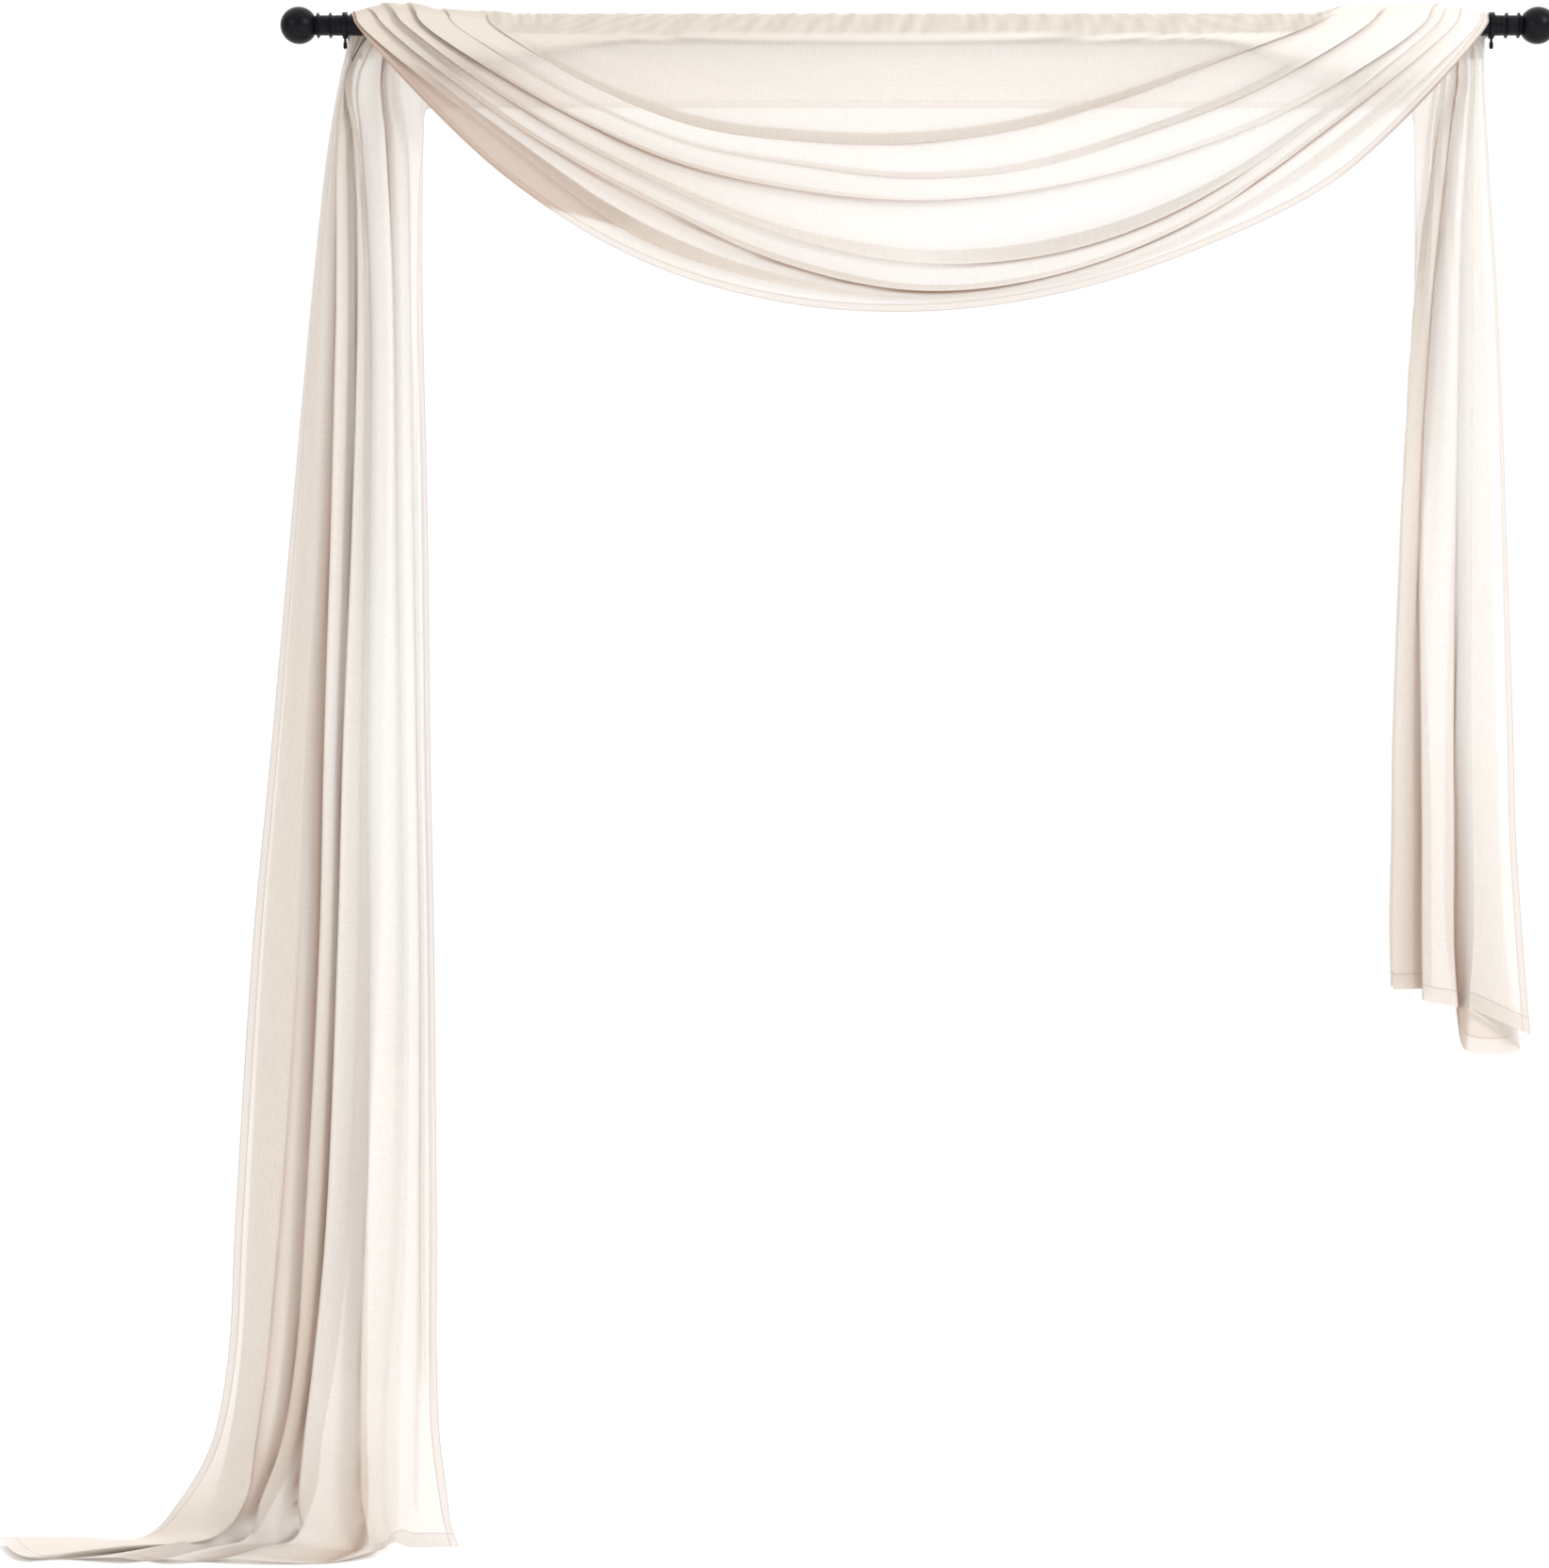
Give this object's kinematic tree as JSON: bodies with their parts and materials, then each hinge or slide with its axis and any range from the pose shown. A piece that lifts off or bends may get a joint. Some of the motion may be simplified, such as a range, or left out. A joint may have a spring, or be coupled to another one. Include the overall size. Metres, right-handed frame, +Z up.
{
  "type": "swag and tail drape with curtain rod",
  "caption": "Sheer scarf draped over a ball-finial curtain rod as a swag of shingled folds, with a long tail that pools on the floor at one side and a short tail at the other.",
  "frame": {"origin": "centre of the back of the left bracket's wall plate, level with the rod's axis", "axes": "+Z up, +Y into the wall so that the room lies toward -Y, +X along the rod from the left bracket to the right one as seen from the room"},
  "size_m": [2.1405, 0.188, 2.1438],
  "materials": {
    "sheer_voile": "sheer matt voile",
    "black_metal": "satin black"
  },
  "bodies": {
    "root": {"scarf": "sheer_voile", "pole": "black_metal", "finial_left": "black_metal", "finial_right": "black_metal", "bracket_left": "black_metal", "bracket_right": "black_metal", "screw_left": "black_metal", "screw_right": "black_metal"}
  },
  "joints": []
}
